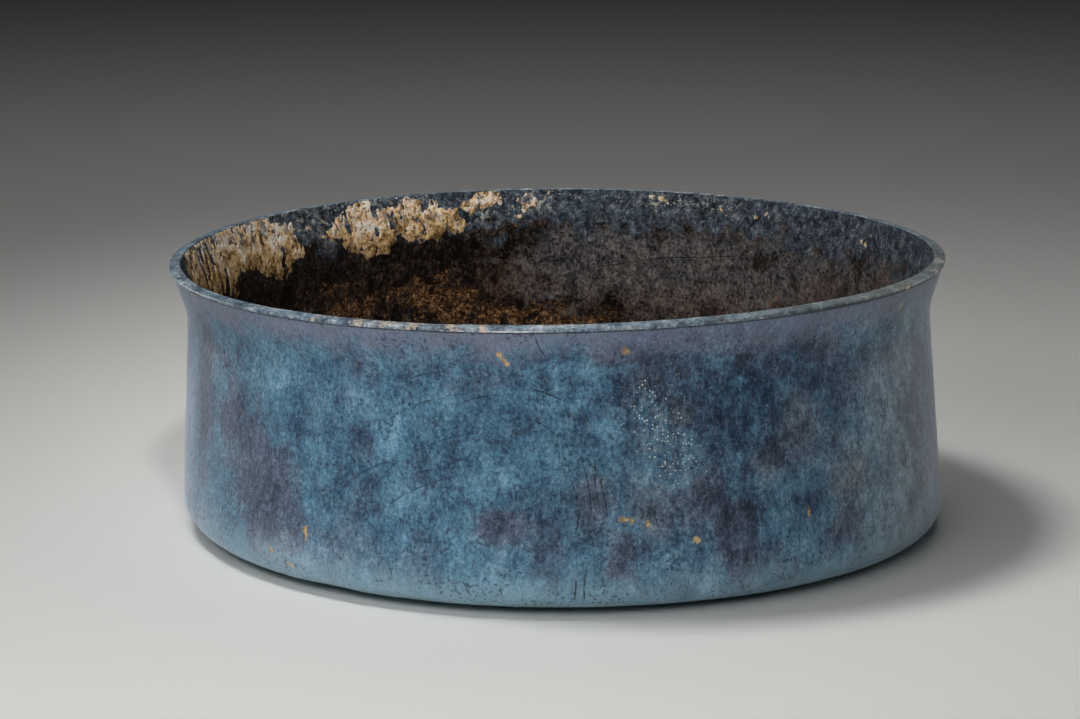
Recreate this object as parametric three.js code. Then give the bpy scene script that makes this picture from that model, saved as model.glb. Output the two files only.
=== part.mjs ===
// A shallow, straight-sided bronze bowl, cast in one piece and finished by hand. The wall leans in a little as it
// rises, bends out at a low neck and ends in a thick lip whose face slopes outwards. The underside bellies down
// slightly, so the bowl rests on the middle of it and the heel stands just clear of the table.
// Millimetres, +Z up. The origin is the middle of the flat that the bowl rests on.

import * as THREE from "three";

// The turned form, measured to the outer face. From its widest, low on the belly, the wall leans in to the neck,
// and from there the mouth flares out again to the lip's inner edge.
const height = 92;
const bellyRadius = 128.1;
const leanIn = 4;
const neckDepth = 16.5;
const neckBend = 5;
const mouthFlare = 1.9;
const heelRadius = 8;
const heelRise = 2.4;
const footRadius = 84;
const undersideSlope = 8; // degrees, where the underside meets the heel

// The metal, and the least radius that the inside is hollowed to at the heel
const wallThickness = 2.4;
const floorThickness = 2.8;
const heelHollow = 3;

// The lip: its sloping face, its outer edge, the step under that edge and how much its arrises are worn round
const lipWidth = 3.6;
const lipDrop = 0.65;
const lipEdge = 1.2;
const lipStep = 0.5;
const lipWear = 0.4;

// What the hand left uneven. The mouth stands to the left of the foot, the rim rises and falls on its way round,
// and the heel hangs lower on the right. Angles run from +X towards +Y.
const mouthShift = -2.3;
const rimTiltRight = 1.5;
const rimTiltBack = -0.25;
const rimSagAcross = -0.45;
const rimSagAslant = -0.55;
const heelTiltRight = -0.7;
const heelSagAslant = -0.6;

// The height down to which the wall follows the rim's unevenness, and that up to which it follows the heel's
const rimFade = 30;
const heelFade = 60;

// Fineness of the faceted solid
const segmentsRound = 96;
const arcSteps = 3;

const neckRadius = bellyRadius - leanIn;
const mouthRadius = neckRadius + mouthFlare;
const lipRadius = mouthRadius + lipWidth;
const underLip = height - lipDrop - lipEdge;
const neckHeight = height - neckDepth;

// Takes a path through a run of corners. Each has a reach, which says how far short of it the bend begins and ends,
// and the last one is where the run stops.
function throughCorners(path, corners) {
  for (let i = 1; i < corners.length - 1; i++) {
    const { at, reach } = corners[i];
    const before = corners[i - 1].at;
    const after = corners[i + 1].at;
    const start = at.clone().lerp(before, reach / at.distanceTo(before));
    const end = at.clone().lerp(after, reach / at.distanceTo(after));
    path.lineTo(start.x, start.y);
    path.quadraticCurveTo(at.x, at.y, end.x, end.y);
  }
  const last = corners[corners.length - 1].at;
  path.lineTo(last.x, last.y);
}

// The turn from the underside into the wall. The outer face has it at the full radius, and the inner face, inset by
// the wall and raised by the floor, as much tighter as the metal is thick, down to a soft hollow.
function heelArc(inset, rise) {
  const radius = Math.max(heelRadius - inset, heelHollow);
  return {
    radius,
    x: bellyRadius - inset - radius,
    y: heelRise + rise + radius,
    start: THREE.MathUtils.degToRad(undersideSlope - 90),
    end: Math.atan2(leanIn, neckHeight - heelRise),
  };
}

// A point on an arc at a given angle
function onArc(arc, angle) {
  return new THREE.Vector2(
    arc.x + arc.radius * Math.cos(angle),
    arc.y + arc.radius * Math.sin(angle),
  );
}

// Where the tangent at the low end of a heel arc comes down to a level
function underTangent(arc, level) {
  const low = onArc(arc, arc.start);
  const slope = Math.tan(arc.start + Math.PI / 2);
  return new THREE.Vector2(low.x - (low.y - level) / slope, level);
}

// The corners from the top of the outer heel up the wall, over the lip and down to the top of the inner heel
function wallCorners(outerHeel, innerHeel) {
  return [
    { at: onArc(outerHeel, outerHeel.end) },
    { at: new THREE.Vector2(neckRadius, neckHeight), reach: neckBend },
    { at: new THREE.Vector2(lipRadius - lipStep, underLip), reach: lipWear / 2 },
    { at: new THREE.Vector2(lipRadius, underLip), reach: lipWear / 2 },
    { at: new THREE.Vector2(lipRadius, height - lipDrop), reach: lipWear },
    { at: new THREE.Vector2(mouthRadius, height), reach: lipWear },
    { at: new THREE.Vector2(neckRadius - wallThickness, neckHeight), reach: neckBend },
    { at: onArc(innerHeel, innerHeel.end) },
  ];
}

// Half of the bowl's section, from the axis under the foot, out and up the outer face, over the lip and back in
function section() {
  const outerHeel = heelArc(0, 0);
  const innerHeel = heelArc(wallThickness, floorThickness);
  const underside = underTangent(outerHeel, 0);
  const floor = underTangent(innerHeel, floorThickness);
  const outerLow = onArc(outerHeel, outerHeel.start);

  const path = new THREE.Path();
  path.moveTo(0, 0);
  path.lineTo(footRadius, 0);
  path.quadraticCurveTo(underside.x, underside.y, outerLow.x, outerLow.y);
  path.absarc(outerHeel.x, outerHeel.y, outerHeel.radius, outerHeel.start, outerHeel.end);
  throughCorners(path, wallCorners(outerHeel, innerHeel));
  path.absarc(innerHeel.x, innerHeel.y, innerHeel.radius, innerHeel.end, innerHeel.start, true);
  path.quadraticCurveTo(floor.x, floor.y, footRadius, floorThickness);
  path.lineTo(0, floorThickness);
  return path;
}

// Section points in order, with the two that lie on the axis kept exactly there and doubled points dropped
function sectionPoints() {
  const points = section().getPoints(arcSteps);
  const apart = 1e-4;
  return points.filter((p, i) => i === 0 || p.distanceTo(points[i - 1]) > apart);
}

// How much of the rim's unevenness reaches a height: none low on the wall, all of it at the lip
function rimShare(z) {
  return THREE.MathUtils.clamp((z - rimFade) / (height - rimFade), 0, 1);
}

// How much of the heel's unevenness reaches a point: none on the foot, all of it at the heel, none again higher up
function heelShare(radius, z) {
  const heelStart = bellyRadius - heelRadius;
  const outwards = THREE.MathUtils.clamp((radius - footRadius) / (heelStart - footRadius), 0, 1);
  const upwards = THREE.MathUtils.clamp(z / heelFade, 0, 1);
  return outwards ** 2 * (1 - upwards);
}

// Moves a point of the turned form to where the hand-made one has it
function unevenPoint(p) {
  const radius = Math.hypot(p.x, p.y);
  const angle = Math.atan2(p.y, p.x);
  const rim =
    rimTiltRight * Math.cos(angle) +
    rimTiltBack * Math.sin(angle) +
    rimSagAcross * Math.cos(2 * angle) +
    rimSagAslant * Math.sin(2 * angle);
  const heel = heelTiltRight * Math.cos(angle) + heelSagAslant * Math.sin(2 * angle);
  const lift = rimShare(p.z) * rim + heelShare(radius, p.z) * heel;
  return p.set(p.x + (mouthShift * p.z) / height, p.y, p.z + lift);
}

// The turned form, stood up along Z and then made uneven
function bowlGeometry() {
  const geometry = new THREE.LatheGeometry(sectionPoints(), segmentsRound);
  geometry.rotateX(Math.PI / 2);
  const position = geometry.attributes.position;
  const point = new THREE.Vector3();
  for (let i = 0; i < position.count; i++) {
    unevenPoint(point.fromBufferAttribute(position, i));
    position.setXYZ(i, point.x, point.y, point.z);
  }
  geometry.computeVertexNormals();
  return geometry;
}

const patinatedBronze = new THREE.MeshStandardMaterial({
  color: 0x4e6980,
  roughness: 0.45,
  metalness: 0.3,
});

const bowl = new THREE.Mesh(bowlGeometry(), patinatedBronze);
bowl.name = "bowl";

const group = new THREE.Group();
group.name = "bronze_bowl";
group.add(bowl);

export default group;
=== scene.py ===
import math
import random

import bpy
import numpy as np
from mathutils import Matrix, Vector, noise


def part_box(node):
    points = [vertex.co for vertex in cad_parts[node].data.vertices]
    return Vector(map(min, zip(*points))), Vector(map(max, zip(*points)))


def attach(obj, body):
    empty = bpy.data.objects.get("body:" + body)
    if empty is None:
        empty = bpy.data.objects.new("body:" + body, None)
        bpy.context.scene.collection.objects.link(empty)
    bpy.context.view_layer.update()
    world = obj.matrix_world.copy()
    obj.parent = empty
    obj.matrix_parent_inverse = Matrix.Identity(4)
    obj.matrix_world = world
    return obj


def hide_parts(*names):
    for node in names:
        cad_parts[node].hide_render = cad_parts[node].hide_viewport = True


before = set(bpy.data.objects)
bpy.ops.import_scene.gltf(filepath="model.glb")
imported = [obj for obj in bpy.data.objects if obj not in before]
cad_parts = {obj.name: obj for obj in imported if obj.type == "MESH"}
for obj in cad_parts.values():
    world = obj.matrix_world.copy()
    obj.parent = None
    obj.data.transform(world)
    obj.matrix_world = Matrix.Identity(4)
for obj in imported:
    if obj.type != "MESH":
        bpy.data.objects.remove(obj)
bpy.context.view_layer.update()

# The camera. It stands in front of the bowl, a little above the level of the rim, and looks down into the
# mouth far enough to show the upper half of the inner wall. It has a long lens, so the wall's sides look
# nearly parallel.
camera_place = (0.0, -1.2132, 0.3157)
camera_tilt_down = math.radians(12.147)
camera_turn_left = math.radians(0.376)
camera_lens_mm = 122.5
camera_sensor_mm = 36

camera_data = bpy.data.cameras.new("camera")
camera_data.lens = camera_lens_mm
camera_data.sensor_width = camera_sensor_mm
camera = bpy.data.objects.new("camera", camera_data)
camera.location = camera_place
camera.rotation_euler = (math.pi / 2 - camera_tilt_down, 0, camera_turn_left)
bpy.context.scene.collection.objects.link(camera)
bpy.context.scene.camera = camera

# The bowl: wall, underside and lip in one casting of tin bronze, turned and finished by hand. Long in the
# ground, it took on a satin blue patina outside, and a dark brown one inside. A place on it is given as an
# angle in degrees, from the front towards the viewer's right, and a height in mm.
low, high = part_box("bowl")
lip_radius = (high.y - low.y) / 2
lip_width = 0.0036
lip_drop = 0.00065
lip_edge = 0.0012
lip_step = 0.0005
lip_wear = 0.0004
mouth_flare = 0.0019
lean_in = 0.004
neck_depth = 0.0165
neck_bend = 0.005
wall_thickness = 0.0024
floor_thickness = 0.0028
heel_radius = 0.008
heel_rise = 0.0024
foot_radius = 0.084
underside_slope = math.radians(8)
mouth_radius = lip_radius - lip_width
neck_radius = mouth_radius - mouth_flare
belly_radius = neck_radius + lean_in

# What the hand left uneven: the mouth stands left of the foot, and rim and heel rise and fall all round.
mouth_shift = -0.0023
rim_fade = 0.030
heel_fade = 0.060


def rim_lift(turn):
    """How far the rim stands above its mean height. The turn runs from +X towards +Y, in radians."""
    return (
        0.0015 * np.cos(turn)
        - 0.00025 * np.sin(turn)
        - 0.00045 * np.cos(2 * turn)
        - 0.00055 * np.sin(2 * turn)
    )


def heel_lift(turn):
    """The same for the heel."""
    return -0.0007 * np.cos(turn) - 0.0006 * np.sin(2 * turn)


height = high.z - rim_lift(np.linspace(0, 2 * math.pi, 720)).max()
under_lip = height - lip_drop - lip_edge


def bend(before, corner, after, reach, steps=7):
    """Points of a bend that leaves one line at `reach` short of the corner and runs into the next."""
    before, corner, after = (np.array(point) for point in (before, corner, after))
    start = corner + (before - corner) * reach / np.linalg.norm(before - corner)
    end = corner + (after - corner) * reach / np.linalg.norm(after - corner)
    share = np.linspace(0, 1, steps)[:, None]
    return (1 - share) ** 2 * start + 2 * share * (1 - share) * corner + share**2 * end


def heel_arc(inset, rise):
    """The turn from the underside into the wall, as points from low to high."""
    radius = heel_radius - inset
    steepest = math.atan2(lean_in, height - neck_depth - heel_rise)
    turn = np.linspace(underside_slope - math.pi / 2, steepest, 12)
    across = belly_radius - inset - radius + radius * np.cos(turn)
    up = heel_rise + rise + radius + radius * np.sin(turn)
    return np.stack([across, up], axis=1)


def belly_curve(arc, level):
    """The underside, or the floor over it, from the edge of the flat foot to the start of a heel arc."""
    far = arc[0]
    near = np.array([foot_radius, level])
    middle = np.array([far[0] - (far[1] - level) / math.tan(underside_slope), level])
    share = np.linspace(0, 1, 12)[:, None]
    return (1 - share) ** 2 * near + 2 * share * (1 - share) * middle + share**2 * far


def fill_in(points, longest):
    """The same line with points added, so that no step along it is longer than `longest`."""
    filled = [points[:1]]
    for near, far in zip(points[:-1], points[1:]):
        steps = max(1, math.ceil(np.linalg.norm(far - near) / longest))
        filled.append(near + (far - near) * np.linspace(0, 1, steps + 1)[1:, None])
    return np.vstack(filled)


# The section runs from the axis under the foot, out and up the outer face, over the lip and back to the axis.
hub_radius = 0.004
flat_step = 0.006
outer_step = 0.00135
lip_face_step = 0.0007
inner_step = 0.0021
outer_heel = heel_arc(0, 0)
inner_heel = heel_arc(wall_thickness, floor_thickness)
neck_outer = (neck_radius, height - neck_depth)
neck_inner = (neck_radius - wall_thickness, height - neck_depth)
lip_root = (lip_radius - lip_step, under_lip)
lip_under = (lip_radius, under_lip)
lip_outer = (lip_radius, height - lip_drop)
crest = (mouth_radius, height)

underside = np.vstack([[[hub_radius, 0]], belly_curve(outer_heel, 0)])
outer_wall = np.vstack([outer_heel, bend(outer_heel[-1], neck_outer, lip_root, neck_bend)])
lip = np.vstack(
    [
        bend(neck_outer, lip_root, lip_under, lip_wear / 2, 4),
        bend(lip_root, lip_under, lip_outer, lip_wear / 2, 4),
        bend(lip_under, lip_outer, crest, lip_wear, 5),
        bend(lip_outer, crest, neck_inner, lip_wear, 5),
    ]
)
inner_wall = np.vstack([bend(crest, neck_inner, inner_heel[-1], neck_bend), inner_heel[::-1]])
floor_inside = np.vstack([belly_curve(inner_heel, floor_thickness)[::-1], [[hub_radius, floor_thickness]]])
up_the_wall = fill_in(np.vstack([outer_wall, lip[:1]]), outer_step)
down_the_wall = fill_in(np.vstack([lip[-1:], inner_wall]), inner_step)
outside = np.vstack([fill_in(underside, flat_step), up_the_wall[1:]])
over_lip = fill_in(lip, lip_face_step)[1:]
inside = np.vstack([down_the_wall[1:], fill_in(floor_inside, flat_step)[1:]])
section = np.vstack([outside, over_lip, inside])


def set_uneven(points):
    """Moves points of the turned form to where the hand-made one has them."""
    x, y, z = points.T
    radius = np.hypot(x, y)
    turn = np.arctan2(y, x)
    rim_share = np.clip((z - rim_fade) / (height - rim_fade), 0, 1)
    outwards = np.clip((radius - foot_radius) / (belly_radius - heel_radius - foot_radius), 0, 1)
    heel_reflection_share = outwards**2 * (1 - np.clip(z / heel_fade, 0, 1))
    lift = rim_share * rim_lift(turn) + heel_reflection_share * heel_lift(turn)
    return np.stack([x + mouth_shift * z / height, y, z + lift], axis=1)


def grain(points, size, octaves=1):
    """Soft noise from about -1 to 1 at each point, with lumps of about `size`."""
    scaled = points / size
    return np.array([noise.fractal(Vector(point), 1.0, 2.0, octaves) for point in scaled.tolist()])


# The wall isn't true: it has shallow hollows from finishing, small lumps in the patina, nicks along the lip
# and, low on the left, a flat where the heel was knocked. The foot itself stays flat.
hollow_size = 0.034
hollow_depth = 0.00016
lump_size = 0.007
lump_depth = 0.00005
nick_size = 0.0045
nick_depth = 0.00030
knock_angle = -36.5
knock_half_angle = 5
knock_height = 0.0035
knock_half_height = 0.004
knock_depth = 0.0005
flat_up_to = 0.0015


def wall_relief(points):
    """How far the surface stands out from the turned form, in metres."""
    return hollow_depth * grain(points, hollow_size) + lump_depth * grain(points, lump_size, 3)


def from_front(points):
    """The angle of each point from the front towards the right, in degrees."""
    return np.degrees(np.arctan2(points[:, 0], -points[:, 1]))


def face_out(line):
    """The direction away from the metal at each point of the section."""
    along = np.gradient(line, axis=0)
    out = np.stack([along[:, 1], -along[:, 0]], axis=1)
    return out / np.linalg.norm(out, axis=1)[:, None]


segments_round = 480
turns = np.linspace(0, 2 * math.pi, segments_round, endpoint=False)
round_about = np.stack([np.cos(turns), np.sin(turns)], axis=1)


def turned(line):
    """Every point of a line in the plane of the section, carried round the axis."""
    ring = line[:, None, :1] * round_about[None]
    up = np.broadcast_to(line[:, None, 1:], (len(line), segments_round, 1))
    return np.concatenate([ring, up], axis=2).reshape(-1, 3)


skin = turned(section)
skin_out = turned(face_out(section))
relief = wall_relief(skin)
on_lip = np.zeros(len(section))
on_lip[len(outside) : len(outside) + len(over_lip)] = 1
nicks = np.clip(grain(skin, nick_size, 2) - 0.25, 0, 1)
relief -= nick_depth * nicks * np.repeat(on_lip, segments_round)
knock_along = (from_front(skin) - knock_angle) / knock_half_angle
knock_up = (skin[:, 2] - knock_height) / knock_half_height
is_outer = np.repeat(np.arange(len(section)) < len(outside), segments_round)
relief -= knock_depth * np.exp(-(knock_along**2) - knock_up**2) * is_outer
off_the_foot = np.clip(skin[:, 2] / flat_up_to, 0, 1)
skin = set_uneven(skin + skin_out * (relief * off_the_foot)[:, None])
hubs = [[0, 0, 0], [0, 0, floor_thickness]]

rows = len(section)
here = np.arange(segments_round)
ahead = (here + 1) % segments_round
faces = []
for row in range(rows - 1):
    near = row * segments_round
    far = near + segments_round
    faces += np.stack([near + here, near + ahead, far + ahead, far + here], axis=1).tolist()
last_row = (rows - 1) * segments_round
under_hub = np.full(segments_round, len(skin))
floor_hub = under_hub + 1
faces += np.stack([under_hub, ahead, here], axis=1).tolist()
faces += np.stack([floor_hub, last_row + here, last_row + ahead], axis=1).tolist()

bowl_mesh = bpy.data.meshes.new("bowl_surface")
bowl_points = np.vstack([skin, hubs])
bowl_mesh.from_pydata(bowl_points.tolist(), [], faces)
bowl_mesh.shade_smooth()
bowl = bpy.data.objects.new("bowl_surface", bowl_mesh)
bpy.context.scene.collection.objects.link(bowl)


def hand_marked(name, mesh, points, patches):
    """Writes where patches lie. Each is a place and how far it reaches sideways and upwards, in mm."""
    angle = from_front(points)
    bare = np.ones(len(points))
    for patch_angle, patch_height, sideways, upwards in patches:
        turned_by = (angle - patch_angle + 180) % 360 - 180
        across = np.radians(turned_by) * belly_radius * 1000 / sideways
        up = (points[:, 2] * 1000 - patch_height) / upwards
        bare *= 1 - np.exp(-(across**2) - up**2)
    layer = mesh.attributes.new(name, "FLOAT", "POINT")
    layer.data.foreach_set("value", 1 - bare)


azure_patches = [
    (-56, 67, 5, 9),
    (-44.5, 69, 8, 8),
    (-37.5, 44, 9, 11),
    (-30, 66, 9, 8),
    (-24.5, 56, 10, 10),
    (-14.5, 61, 13, 9),
    (-2, 67, 12, 8),
    (6, 58, 7, 9),
    (-6, 47, 14, 9),
    (-22, 38, 9, 7),
    (-13.5, 22, 9, 12),
    (-7, 12, 16, 7),
    (-34.5, 13, 10, 6),
    (11, 27, 8, 6),
    (22, 9, 12, 5),
    (31, 38, 7, 6),
    (36, 16, 9, 7),
    (51, 66, 4, 9),
    (57, 22, 8, 12),
]
navy_patches = [
    (-41, 54, 5, 5),
    (-29.5, 54, 4, 4),
    (-9, 33, 6, 4),
    (1, 74, 12, 4),
    (9, 70, 7, 5),
    (15, 72, 9, 9),
    (19, 56, 9, 14),
    (27.5, 68, 10, 14),
    (36, 76, 12, 10),
    (43, 66, 9, 14),
    (31, 54, 7, 9),
    (57, 76, 8, 12),
    (62, 52, 8, 12),
    (26, 30, 6, 12),
    (38, 30, 9, 5),
]
plum_patches = [
    (-57, 50, 7, 12),
    (-51, 38, 11, 18),
    (-46, 30, 11, 17),
    (-47, 13, 14, 10),
    (-66, 58, 6, 26),
    (7, 82, 11, 4),
    (28, 83, 13, 4),
    (20, 37, 8, 12),
    (25, 23, 7, 14),
    (7.5, 17, 6, 9),
    (-8, 30, 8, 5),
    (41, 79, 8, 6),
    (67, 50, 6, 30),
    (45, 21, 9, 7),
]
pale_patches = [
    (17, 63, 6, 5),
    (3.5, 38, 7, 9),
    (13, 33, 9, 9),
    (36, 55, 10, 12),
    (46, 38, 11, 13),
    (30, 46, 6, 6),
]

# Round the back the patches are scattered as they are in front.
scatter = random.Random(11)
for patches, count in ((azure_patches, 15), (navy_patches, 7), (plum_patches, 9), (pale_patches, 6)):
    for _ in range(count):
        where = (scatter.uniform(78, 282), scatter.uniform(12, 80))
        patches.append(where + (scatter.uniform(7, 14), scatter.uniform(6, 13)))

turned_height = bowl_mesh.attributes.new("turned_height", "FLOAT", "POINT")
heights_there = np.append(np.repeat(section[:, 1], segments_round), [0, floor_thickness])
turned_height.data.foreach_set("value", heights_there)
hand_marked("azure", bowl_mesh, bowl_points, azure_patches)
hand_marked("navy", bowl_mesh, bowl_points, navy_patches)
hand_marked("plum", bowl_mesh, bowl_points, plum_patches)
hand_marked("pale", bowl_mesh, bowl_points, pale_patches)

# A painted sheen, for the reflection of the pale table, lies over the left edge and the heel, the wall is a
# little paler at its sides, dusky towards the right and weathered greyer at the far right, where painted
# light also makes it lighter, and pale flecks stand in one cluster in front and one at the back.
painted_sheen_patches = [
    (-82, 22, 12, 34),
    (-44, 7, 24, 10),
    (-80, 14, 12, 24),
    (-66, 8, 14, 16),
    (-50, 3, 18, 9),
    (-32, 0, 20, 6),
    (-74, 44, 6, 22),
    (72, 14, 9, 20),
    (58, 4, 18, 8),
]
paler_side_patches = [(-50, 44, 50, 70), (-140, 44, 50, 60), (120, 44, 50, 60)]
flecked_patches = [(12.5, 67, 8, 8), (14, 58, 9, 10), (17, 48, 8, 8), (170, 50, 14, 12)]
hand_marked("painted_sheen", bowl_mesh, bowl_points, painted_sheen_patches)
hand_marked("paler_sides", bowl_mesh, bowl_points, paler_side_patches)
hand_marked("weathered_and_painted_light", bowl_mesh, bowl_points, [(60, 46, 34, 70), (86, 46, 30, 60)])
hand_marked("dusky", bowl_mesh, bowl_points, [(21, 48, 34, 80), (170, 48, 40, 80)])
hand_marked("smeared", bowl_mesh, bowl_points, [(58.6, 86.2, 2.4, 2.6)])
hand_marked("flecked", bowl_mesh, bowl_points, flecked_patches)


def on_sheet(angle, height_mm):
    """A place on the wall as if it were unrolled: across and up, in metres."""
    return Vector((math.radians(angle) * belly_radius, height_mm / 1000, 0))


def make_stroke_group():
    """The distance from a bowed line, as a group, because each mark needs it."""
    group = bpy.data.node_groups.new("stroke", "ShaderNodeTree")
    for name in ("Place", "Begin", "Along", "Aside"):
        group.interface.new_socket(name, in_out="INPUT", socket_type="NodeSocketVector")
    group.interface.new_socket("Distance", in_out="OUTPUT", socket_type="NodeSocketFloat")
    place, begin, along, aside = group.nodes.new("NodeGroupInput").outputs[:4]

    def link(kind, operation, *values):
        node = group.nodes.new(kind)
        node.operation = operation
        for socket, value in zip(node.inputs, values):
            if isinstance(value, bpy.types.NodeSocket):
                group.links.new(value, socket)
            else:
                socket.default_value = value
        return node

    def vector(operation, *values):
        return link("ShaderNodeVectorMath", operation, *values)

    def number(operation, *values):
        return link("ShaderNodeMath", operation, *values)

    from_begin = vector("SUBTRACT", place, begin).outputs[0]
    shadow = vector("DOT_PRODUCT", from_begin, along).outputs["Value"]
    whole = vector("DOT_PRODUCT", along, along).outputs["Value"]
    divided = number("DIVIDE", shadow, whole)
    divided.use_clamp = True
    share = divided.outputs[0]
    rest = number("SUBTRACT", 1.0, share).outputs[0]
    swell = number("MULTIPLY", share, rest).outputs[0]
    swell = number("MULTIPLY", swell, 4.0).outputs[0]
    straight = vector("SCALE", along)
    group.links.new(share, straight.inputs["Scale"])
    bowed = vector("SCALE", aside)
    group.links.new(swell, bowed.inputs["Scale"])
    offset = vector("SUBTRACT", from_begin, straight.outputs[0]).outputs[0]
    offset = vector("SUBTRACT", offset, bowed.outputs[0]).outputs[0]
    distance = vector("LENGTH", offset).outputs["Value"]
    group.links.new(distance, group.nodes.new("NodeGroupOutput").inputs[0])
    return group


stroke_group = make_stroke_group()


class Finish:
    """A finish built up in layers, from what lies deepest to what lies on top."""

    def __init__(self, name):
        self.material = bpy.data.materials.new(name)
        self.material.use_nodes = True
        self.nodes = self.material.node_tree.nodes
        self.shader = self.nodes["Principled BSDF"]
        self.place = self.nodes.new("ShaderNodeTexCoord").outputs["Object"]
        self.x, self.y, self.z = self.add("ShaderNodeSeparateXYZ", [self.place]).outputs
        self.sheet = None

    def feed(self, socket, value):
        """Sets a socket, or links it to the one that it follows."""
        if isinstance(value, bpy.types.NodeSocket):
            self.material.node_tree.links.new(value, socket)
        else:
            socket.default_value = value

    def add(self, kind, values, **settings):
        """A node with its settings and with its first inputs fed in order."""
        node = self.nodes.new(kind)
        for name, setting in settings.items():
            setattr(node, name, setting)
        for socket, value in zip(node.inputs, values):
            self.feed(socket, value)
        return node

    def sum(self, first, second):
        return self.add("ShaderNodeMath", [first, second], operation="ADD").outputs[0]

    def times(self, first, second):
        return self.add("ShaderNodeMath", [first, second], operation="MULTIPLY").outputs[0]

    def least(self, first, second):
        return self.add("ShaderNodeMath", [first, second], operation="MINIMUM").outputs[0]

    def plus(self, value, part, weight):
        """A value with a part of another added to it."""
        return self.sum(value, self.times(part, weight))

    def swing(self, cloud, reach):
        """A cloud as a swing to either side of 0."""
        return self.times(self.sum(cloud, -0.5), reach)

    def marked(self, name):
        """The share that was marked on the mesh."""
        return self.add("ShaderNodeAttribute", [], attribute_name=name).outputs["Fac"]

    def patches(self, name, gaps, none=0.15, all_of_it=0.85):
        """The patches marked on the mesh, with the broken edge and the gaps that a swing gives them."""
        return self.share(self.sum(self.marked(name), gaps), none, all_of_it)

    def cloud(self, size, detail=4, rough=0.55, drawn=1, warp=0.0, away=0.0):
        """Noise around 0.5 with blotches of about `size` metres, drawn upwards by `drawn`.

        Each cloud is taken some way `away` from the others, so that no two look alike."""
        squeeze = self.add("ShaderNodeVectorMath", [self.place, (1, 1, 1 / drawn)], operation="MULTIPLY")
        moved = self.add("ShaderNodeVectorMath", [squeeze.outputs[0], (away, away, away)], operation="ADD")
        node = self.add("ShaderNodeTexNoise", [moved.outputs[0]])
        node.inputs["Scale"].default_value = 1 / size
        node.inputs["Detail"].default_value = detail
        node.inputs["Roughness"].default_value = rough
        node.inputs["Distortion"].default_value = warp
        return node.outputs["Fac"]

    def share(self, value, none, all_of_it):
        """0 at `none`, 1 at `all_of_it` and a soft rise between them."""
        limits = [value, none, all_of_it]
        return self.add("ShaderNodeMapRange", limits, interpolation_type="SMOOTHSTEP").outputs[0]

    def shades(self, value, stops):
        """A colour for each value. A stop is a value and its colour."""
        node = self.add("ShaderNodeValToRGB", [value])
        marks = node.color_ramp.elements
        for _ in range(len(stops) - 2):
            marks.new(0.5)
        for mark, (at, colour) in zip(marks, stops):
            mark.position = at
            mark.color = colour + (1,)
        return node.outputs["Color"]

    def over(self, under, cover, share, strength=1):
        """One colour laid over another where there is a share of it, and at most at its strength."""
        if strength != 1:
            share = self.times(share, strength)
        if isinstance(cover, tuple):
            cover = cover + (1,)
        node = self.add("ShaderNodeMix", [], data_type="RGBA")
        sockets = [socket for socket in node.inputs if socket.enabled]
        for socket, value in zip(sockets, (share, under, cover)):
            self.feed(socket, value)
        return next(socket for socket in node.outputs if socket.enabled)

    def raised(self, lift, depth, below=None):
        """Lifts the surface by up to `depth` where `lift` is 1, on top of an earlier lift."""
        node = self.add("ShaderNodeBump", [])
        self.feed(node.inputs["Height"], lift)
        node.inputs["Strength"].default_value = 1
        node.inputs["Distance"].default_value = depth
        if below is not None:
            self.feed(node.inputs["Normal"], below)
        return node.outputs["Normal"]

    def unroll(self):
        """Finds each point's place on the unrolled wall, for marks that are drawn at their own place."""
        lean = self.times(self.z, -mouth_shift / height)
        across = self.sum(self.x, lean)
        front = self.times(self.y, -1.0)
        angle = self.add("ShaderNodeMath", [across, front], operation="ARCTAN2").outputs[0]
        sheet_place = [self.times(angle, belly_radius), self.z]
        self.sheet = self.add("ShaderNodeCombineXYZ", sheet_place).outputs[0]

    def strokes(self, marks):
        """How far each place is from the nearest mark, in metres.

        A mark runs from one place to another and bows out to its left by some mm."""
        nearest = None
        for begin_angle, begin_height, end_angle, end_height, bow in marks:
            begin = on_sheet(begin_angle, begin_height)
            end = on_sheet(end_angle, end_height)
            aside = Vector((begin.y - end.y, end.x - begin.x, 0)).normalized() * bow / 1000
            node = self.add("ShaderNodeGroup", [], node_tree=stroke_group)
            for socket, value in zip(node.inputs, (self.sheet, begin, end - begin, aside)):
                self.feed(socket, value)
            distance = node.outputs[0]
            nearest = distance if nearest is None else self.least(nearest, distance)
        return nearest


scratch_bend = 9.0


def random_scratches(finish, cell, length, width, lean, away=0.0):
    """Fine, curved scratches, one in some of the cells that the unrolled wall is cut up into.

    Each leans to either side by up to half of `lean`, in radians."""
    shifted = finish.add("ShaderNodeVectorMath", [finish.sheet, (away, away, 0)], operation="ADD").outputs[0]
    cells = finish.add("ShaderNodeTexVoronoi", [], voronoi_dimensions="2D")
    finish.feed(cells.inputs["Vector"], shifted)
    cells.inputs["Scale"].default_value = 1 / cell
    local = finish.add("ShaderNodeVectorMath", [shifted, cells.outputs["Position"]], operation="SUBTRACT")
    dice = finish.add("ShaderNodeSeparateColor", [cells.outputs["Color"]])
    turn = finish.swing(dice.outputs[0], lean)
    spun = finish.add("ShaderNodeVectorRotate", [local.outputs[0]], rotation_type="Z_AXIS")
    finish.feed(spun.inputs["Angle"], turn)
    across, along, _ = finish.add("ShaderNodeSeparateXYZ", [spun.outputs[0]]).outputs
    curve = finish.times(finish.times(along, along), scratch_bend)
    bowed = finish.sum(across, curve)
    off_line = finish.add("ShaderNodeMath", [bowed], operation="ABSOLUTE").outputs[0]
    off_middle = finish.add("ShaderNodeMath", [along], operation="ABSOLUTE").outputs[0]
    thin = finish.share(off_line, width, width / 3)
    short = finish.share(off_middle, length / 2, length / 3)
    chosen = finish.share(dice.outputs[1], 0.62, 0.72)
    return finish.times(finish.times(thin, short), chosen)


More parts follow.
